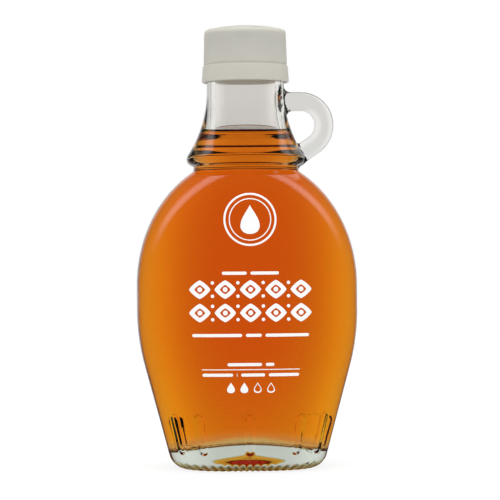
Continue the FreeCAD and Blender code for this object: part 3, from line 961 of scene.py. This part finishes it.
def cap_points(neck, cap):
    """Rings of the cap: down its inside, round its foot and up its outside to the top."""
    lip, top, foot = GLASS_HIGH.z, CAP_HIGH.z, CAP_LOW.z
    inside = neck.neck_radius - neck.finish_step + cap.play
    skirt = inside + cap.wall
    shoulder = skirt - cap.taper
    band_inside = neck.neck_radius + cap.band_play
    band = band_inside + cap.wall
    line = foot + cap.band_height
    slit = cap.slit_height
    edge = top - cap.dome
    turn = quarter_turn(16)
    flat = shoulder - cap.rounding
    across = np.linspace(flat, 0.02 * MM, 40)
    dimple = 0.25 * MM * np.exp(-(across / cap.gate) ** 2)
    profile = even_profile([
        turned([0.02 * MM, inside - 0.6 * MM], lip),
        turned(inside, [lip - 0.6 * MM, line + 1 * MM]),
        turned([inside, band_inside], [line, foot + 0.4 * MM]),
        turned(band_inside + 0.3 * MM + 0.5 * (cap.wall - 0.6 * MM) * (1 - np.cos(turn * 2)),
               foot),
        turned([band, skirt + cap.ledge, skirt],
               [foot + 0.4 * MM, line - 1.2 * cap.ledge, line - 0.02 * MM]),
        turned(skirt - cap.slit_depth, [line + 0.02 * MM, line + slit]),
        turned([skirt - cap.chamfer * 0.7, skirt],
               [line + slit, line + slit + cap.chamfer]),
        turned([skirt, shoulder],
               [line + slit + cap.chamfer + 0.1 * MM, edge - cap.rounding]),
        turned(flat + cap.rounding * np.cos(turn), edge - cap.rounding * (1 - np.sin(turn))),
        turned(across, edge + cap.dome * (1 - (across / flat) ** 2) - dimple),
    ], 0.1 * MM)
    rows = pick_rows(profile, step=1.4 * MM, turn_step=math.radians(9))
    angles = whole_turn(COLUMNS)
    points = rings(rows, angles)
    cut = (rows[:, 3] > line - 0.1 * MM) & (rows[:, 3] < line + slit + 0.05 * MM)
    cut &= rows[:, 0] > inside + 0.2 * MM
    pitch = 2 * math.pi / cap.bridges
    away = np.abs((angles + pitch / 2) % pitch - pitch / 2) * skirt
    bridge = smoothstep((0.9 * MM - away) / (0.3 * MM))
    fill = np.where(cut, skirt - rows[:, 0] - 0.12 * MM, 0)[:, None] * bridge
    points[..., 0] += np.cos(angles) * np.maximum(fill, 0)
    points[..., 1] += np.sin(angles) * np.maximum(fill, 0)
    return points


def moulded_plastic(finishes):
    """Off-white polyethylene, injection-moulded: satin, with the mould's fine grain.

    The grain is 0.3 mm wide, drawn coarser than the real spark finish so that it shows.  The
    tone drifts by up to four hundredths over the cap, and the IOR of 1.49 is a little low.
    """
    material, tree = new_material("moulded_plastic")
    place = object_place(tree)
    drift = mapped(tree, noise(tree, place, 15 * MM, 2.0), to_min=0.96, to_max=1.04)
    grain = noise(tree, place, 0.3 * MM, 2.0)
    plastic = result(tree, "BsdfPrincipled", {
        "Base Color": scaled_colour(tree, finishes.plastic, drift), "IOR": 1.49,
        "Roughness": mapped(tree, grain, to_min=0.42, to_max=0.54),
        "Specular IOR Level": 0.35, "Normal": bumps(tree, grain, 0.25, 0.02 * MM),
        "Subsurface Weight": 0.85, "Subsurface Radius": (1, 0.95, 0.9),
        "Subsurface Scale": 7 * MM})
    add_node(tree, "OutputMaterial", {"Surface": plastic})
    return material


class SYRUP_OT_cap(bpy.types.Operator):
    """Add the screw cap with its tamper band, in place of the plain solid"""
    bl_idname = "syrup.cap"
    bl_label = "Cap"

    def execute(self, context):
        scene = context.scene
        points = cap_points(scene.neck_sizes, scene.cap_sizes)
        cap = closed_surface("screw_cap", points, moulded_plastic(scene.finishes))
        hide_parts("cap")
        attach(cap, "root")
        return {"FINISHED"}


# ---------------------------------------------------------------- print

class FrontFace:
    """The flask's front face as a map from (x, z) to a point and its way out of the glass."""

    def __init__(self, flask, neck):
        rows = outside_profile(flask, neck)
        self.rows = rows[rows[:, 3] > 25 * MM]

    def depth(self, x, z):
        """Distance of the face from the plane of the ear: b (1 - |x/a|^n)^(1/n)."""
        across, deep, exponent = (np.interp(z, self.rows[:, 3], self.rows[:, k])
                                  for k in range(3))
        return deep * (1 - np.abs(x / across) ** exponent) ** (1 / exponent)

    def points(self, x, z, out):
        """Points that far out of the face, along its own normals."""
        small = 0.02 * MM
        slope_x = (self.depth(x + small, z) - self.depth(x - small, z)) / (2 * small)
        slope_z = (self.depth(x, z + small) - self.depth(x, z - small)) / (2 * small)
        size = np.sqrt(slope_x ** 2 + 1 + slope_z ** 2)
        return np.stack([x - slope_x / size * out, -self.depth(x, z) - out / size,
                         z - slope_z / size * out], -1)


class EnamelSheet:
    """Collects printed shapes as thin closed slabs that lie on the front face."""

    def __init__(self, face, thickness):
        self.face = face
        self.thickness = thickness
        self.vertices = []
        self.faces = []
        self.total = 0

    def slab(self, x, z, closed):
        """Add a slab over a grid of (x, z); closed joins the last column to the first."""
        rows, columns = x.shape
        front = self.face.points(x, z, self.thickness)
        back = self.face.points(x, z, -0.03 * MM)
        index = self.total + np.arange(rows * columns).reshape(rows, columns)
        if closed:
            index = np.concatenate([index, index[:, :1]], 1)
        behind = index + rows * columns
        for grid, turned_round in ((index, False), (behind, True)):
            quads = np.stack([grid[:-1, :-1], grid[:-1, 1:], grid[1:, 1:], grid[1:, :-1]], -1)
            quads = quads.reshape(-1, 4)
            self.faces += (quads[:, ::-1] if turned_round else quads).tolist()
        edges = [(index[0], behind[0], True), (index[-1], behind[-1], False)]
        if not closed:
            edges += [(index[:, 0], behind[:, 0], False), (index[:, -1], behind[:, -1], True)]
        for near, far, turned_round in edges:
            quads = np.stack([near[:-1], near[1:], far[1:], far[:-1]], -1)
            self.faces += (quads[:, ::-1] if turned_round else quads).tolist()
        self.vertices += [front.reshape(-1, 3), back.reshape(-1, 3)]
        self.total += 2 * rows * columns

    def bar(self, x, z, width, height):
        """Rounded bar: a grid between its lower and its upper edge."""
        radius = min(width, height) / 2
        turn = quarter_turn(5)
        end = radius * (1 - np.cos(turn))
        middle = np.linspace(radius, width - radius, max(2, int(width / (1.5 * MM))))[1:-1]
        way = np.concatenate([end, middle, width - end[::-1]])
        way = np.clip(way, 0.02 * MM, width - 0.02 * MM)
        inset = np.minimum(way, width - way)
        rise = height / 2 - radius + np.sqrt(
            np.maximum(0, radius ** 2 - np.maximum(0, radius - inset) ** 2))
        side = np.array([-1, 0, 1])[:, None]
        self.slab(x - width / 2 + way[None, :] + 0 * side, z + side * rise[None, :], False)

    def outline(self, x, z, reach_x, reach_z, inner):
        """Closed band between an outline about (x, z) and that outline scaled by inner."""
        scale = np.linspace(1, inner, 3 if inner > 0.4 else 5)[:, None]
        self.slab(x - reach_x[None, :] * scale, z + reach_z[None, :] * scale, True)

    def to_object(self, name, material):
        """Object of all the slabs."""
        vertices = np.concatenate(self.vertices)
        return new_object(name, vertices, self.faces, material, smooth=False)


def circle(radius, steps=64):
    """Outline of a circle."""
    turn = whole_turn(steps)
    return radius * np.cos(turn), radius * np.sin(turn)


def lozenge(half_width, half_height, steps=48):
    """Outline of a lozenge with softened corners: |x|^p + |z|^p = 1 with p = 1.25."""
    turn = whole_turn(steps)
    cos, sin = np.cos(turn), np.sin(turn)
    power = 2 / 1.25
    return (half_width * np.sign(cos) * np.abs(cos) ** power,
            half_height * np.sign(sin) * np.abs(sin) ** power)


def drop(half_width, half_height, steps=40):
    """Outline of a drop, point up: x = w sin(t) sin(t/2)^1.5, z = h cos(t)."""
    turn = whole_turn(steps)
    return (1.3 * half_width * np.sin(turn) * np.abs(np.sin(turn / 2)) ** 1.5,
            half_height * np.cos(turn))


def fired_enamel(finishes):
    """White enamel, screen-printed and fired: opaque, a little less slick than the glass.

    The screen's threads leave a weave 0.25 mm wide, drawn as faint bumps.
    """
    material, tree = new_material("fired_enamel")
    weave = noise(tree, object_place(tree), 0.25 * MM, 1.0)
    tone = mapped(tree, weave, to_min=0.95, to_max=1.0)
    enamel = result(tree, "BsdfPrincipled", {
        "Base Color": scaled_colour(tree, finishes.enamel, tone), "Roughness": 0.35,
        "IOR": 1.5, "Normal": bumps(tree, weave, 0.15, 0.01 * MM)})
    add_node(tree, "OutputMaterial", {"Surface": enamel})
    return material


def print_words(sheet, x, z, width, shares):
    """Row of bars that stands for a line of small words, with a gap between them."""
    gap, height = 1.3 * MM, 1.1 * MM
    free = width - gap * (len(shares) - 1)
    left = x - width / 2
    for share in shares:
        long = free * share / sum(shares)
        sheet.bar(left + long / 2, z, long, height)
        left += long + gap


def print_chain(sheet, x, z, width, height, links):
    """Row of hollow lozenges, a disc in each and two small ones between each two."""
    pitch = width / links
    half = pitch * 0.42
    for k in range(links):
        middle = x + (k + 0.5 - links / 2) * pitch
        sheet.outline(middle, z, *lozenge(half, height / 2), 0.5)
        sheet.outline(middle, z, *circle(0.85 * MM, 24), FILLED)
        if k:
            for rise in (height * 0.36, -height * 0.36):
                sheet.outline(middle - pitch / 2, z + rise, *circle(0.6 * MM, 24), FILLED)


class SYRUP_OT_print(bpy.types.Operator):
    """Add the white print: a ring with a drop, two chains of lozenges, bars and small drops"""
    bl_idname = "syrup.print"
    bl_label = "Print"

    def execute(self, context):
        scene = context.scene
        sizes = scene.print_sizes
        sheet = EnamelSheet(FrontFace(scene.flask_sizes, scene.neck_sizes), sizes.thickness)
        x = sizes.middle
        ring = sizes.ring_radius
        sheet.outline(x, sizes.ring_height, *circle(ring, 96), 1 - sizes.ring_stroke / ring)
        sheet.outline(x, sizes.ring_height, *circle(ring * 0.8, 96), 0.95)
        sheet.outline(x, sizes.ring_height, *drop(ring * 0.4, ring * 0.55), FILLED)
        print_words(sheet, x, 70.9 * MM, 20 * MM, (2.6, 3))
        print_chain(sheet, x, sizes.chain_upper, sizes.chain_width, sizes.chain_height, 5)
        print_chain(sheet, x, sizes.chain_lower, sizes.chain_width, sizes.chain_height, 5)
        print_words(sheet, x, 49.1 * MM, 41 * MM, (5, 1.6, 4.4))
        print_words(sheet, x, 38.8 * MM, 16.5 * MM, (4, 1))
        sheet.bar(x, 37 * MM, 34.5 * MM, 0.3 * MM)
        print_words(sheet, x, 35.1 * MM, 34 * MM, (4.6, 0.1, 3.6, 4.6))
        for k in range(4):
            middle = x + (k - 1.5) * 4.7 * MM
            sheet.outline(middle, 30.6 * MM, *drop(1.5 * MM, 1.9 * MM), FILLED if k < 2 else 0.74)
        enamel = sheet.to_object("enamel_print", fired_enamel(scene.finishes))
        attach(enamel, "root")
        return {"FINISHED"}


# ---------------------------------------------------------------- stage

def light_levels(tree, stage, direction):
    """Level of the surroundings for each kind of ray, by its direction away from the flask.

    Matt surfaces get even light.  Seen through glass the surroundings are pale, and a little
    paler at the sides.  Light that has turned back inside the glass, after an odd number of
    mirrorings, comes from the dark room in front.  The glass's own gloss mirrors that room
    too, the backdrop straight behind, and two soft lights that hang over the flask's sides.
    The limits between these are sines of directions.
    """
    path = add_node(tree, "LightPath").outputs
    parts = add_node(tree, "SeparateXYZ", {"Vector": direction}).outputs
    aside = worked_out(tree, "ABSOLUTE", parts["X"])
    behind = parts["Y"]
    odd = worked_out(tree, "FLOORED_MODULO", path["Glossy Depth"], 2.0)

    pale = between(tree, ease(tree, aside, 0.1, 0.5), stage.world_through, stage.world_side)
    turned_light = between(tree, ease(tree, behind, -0.35, 0.25), stage.world_back, pale)
    through = between(tree, odd, pale, turned_light)

    mirrored = between(tree, ease(tree, behind, 0.8, 1.0), stage.world_mirror,
                       stage.world_through)
    lamp = stage.side_lamps
    for edge in (ease(tree, behind, 0.0, 0.16), ease(tree, behind, 0.5, 0.26),
                 ease(tree, aside, 0.06, 0.26), ease(tree, parts["Z"], 0.15, 0.65)):
        lamp = worked_out(tree, "MULTIPLY", lamp, edge)
    mirrored = worked_out(tree, "ADD", mirrored, lamp)

    level = between(tree, path["Is Glossy Ray"], stage.world_diffuse, mirrored)
    level = between(tree, path["Is Transmission Ray"], level, through)
    return path["Is Camera Ray"], level


def pale_floor(finishes, stage):
    """Matt pale floor: white to the camera, and a little darker where the flask shades it.

    Everything but the camera sees it as bright as the surroundings, except under the flask,
    where little light gets and the syrup tints it.
    """
    material, tree = new_material("pale_floor")
    place = object_place(tree)
    seen, level = light_levels(tree, stage, vector_of(tree, "NORMALIZE", place))
    away = vector_of(tree, "LENGTH", vector_of(tree, "MULTIPLY", place, (1, 1.35, 0)))
    tone = mixed(tree, ease(tree, away, 26 * MM, 44 * MM), finishes.floor_under, (1, 1, 1))
    even = result(tree, "Emission", {"Color": tone, "Strength": level})
    matt = result(tree, "BsdfDiffuse", {
        "Color": (*(0.26 * value for value in finishes.floor), 1)})
    glow = result(tree, "Emission", {"Strength": 0.83})
    shaded = result(tree, "AddShader", {0: matt, 1: glow})
    both = result(tree, "MixShader", {0: seen, 1: even, 2: shaded})
    add_node(tree, "OutputMaterial", {"Surface": both})
    return material


def light_world(stage):
    """Even studio surroundings: white to the camera, with a dark room in front of the flask."""
    world = bpy.data.worlds.new("studio")
    bpy.context.scene.world = world
    world.use_nodes = True
    tree = world.node_tree
    tree.nodes.clear()
    direction = add_node(tree, "TexCoord").outputs["Generated"]
    seen, level = light_levels(tree, stage, direction)
    sky = result(tree, "Background", {
        "Color": (1, 1, 1, 1), "Strength": between(tree, seen, level, 1.0)})
    add_node(tree, "OutputWorld", {"Surface": sky})


def add_lamp(name, place, size, level):
    """Square lamp that looks at the flask.

    Level is how bright it makes a white face that is turned to it: its power is level times
    pi^2 times the square of the distance.
    """
    data = bpy.data.lights.new(name, "AREA")
    target = np.array([0, 0, 0.08])
    away = np.array(place) - target
    data.size = size
    data.energy = level * math.pi ** 2 * float(away @ away)
    lamp = bpy.data.objects.new(name, data)
    direction = Vector(away.tolist())
    lamp.matrix_world = (Matrix.Translation(place)
                         @ direction.to_track_quat("Z", "Y").to_matrix().to_4x4())
    lamp.visible_glossy = False
    lamp.visible_transmission = False
    bpy.context.scene.collection.objects.link(lamp)


class SYRUP_OT_stage(bpy.types.Operator):
    """Add the floor, the soft light and the camera"""
    bl_idname = "syrup.stage"
    bl_label = "Stage"

    def execute(self, context):
        scene = context.scene
        stage = scene.stage_sizes
        corners = FLOOR_HALF * np.array([(-1, -1, 0), (1, -1, 0), (1, 1, 0), (-1, 1, 0)])
        material = pale_floor(scene.finishes, stage)
        floor = new_object("floor", corners, [(0, 1, 2, 3)], material, smooth=False)
        light_world(stage)
        for lamp in LAMPS:
            add_lamp(*lamp)

        data = bpy.data.cameras.new("camera")
        data.sensor_width = 36
        data.lens = stage.lens
        data.clip_start = 0.01
        camera = bpy.data.objects.new("camera", data)
        place = Vector((stage.distance * math.sin(stage.azimuth),
                           -stage.distance * math.cos(stage.azimuth), stage.height))
        aim = Vector((stage.aim_side, 0, stage.aim_height))
        look = (place - aim).to_track_quat("Z", "Y").to_matrix().to_4x4()
        camera.matrix_world = (Matrix.Translation(place) @ look
                               @ Matrix.Rotation(stage.roll, 4, "Z"))
        scene.collection.objects.link(camera)
        scene.camera = camera
        scene.view_settings.view_transform = "Standard"
        return {"FINISHED"}


# ---------------------------------------------------------------- add-on

class SYRUP_PT_panel(bpy.types.Panel):
    """Lists the pieces of the flask"""
    bl_idname = "SYRUP_PT_panel"
    bl_label = "Syrup Flask"
    bl_space_type = "VIEW_3D"
    bl_region_type = "UI"
    bl_category = "Syrup Flask"

    def draw(self, context):
        for operator in OPERATORS:
            self.layout.operator(operator.bl_idname)


OPERATORS = (SYRUP_OT_glass, SYRUP_OT_syrup, SYRUP_OT_cap, SYRUP_OT_print, SYRUP_OT_stage)
CLASSES = (*GROUPS.values(), *OPERATORS, SYRUP_PT_panel)


def register():
    for item in CLASSES:
        bpy.utils.register_class(item)
    for name, group in GROUPS.items():
        setattr(bpy.types.Scene, name, bpy.props.PointerProperty(type=group))


def unregister():
    for name in GROUPS:
        delattr(bpy.types.Scene, name)
    for item in reversed(CLASSES):
        bpy.utils.unregister_class(item)


def main():
    """Build every piece."""
    register()
    bpy.ops.syrup.glass()
    bpy.ops.syrup.syrup()
    bpy.ops.syrup.cap()
    bpy.ops.syrup.print()
    bpy.ops.syrup.stage()


if __name__ == "__main__":
    main()
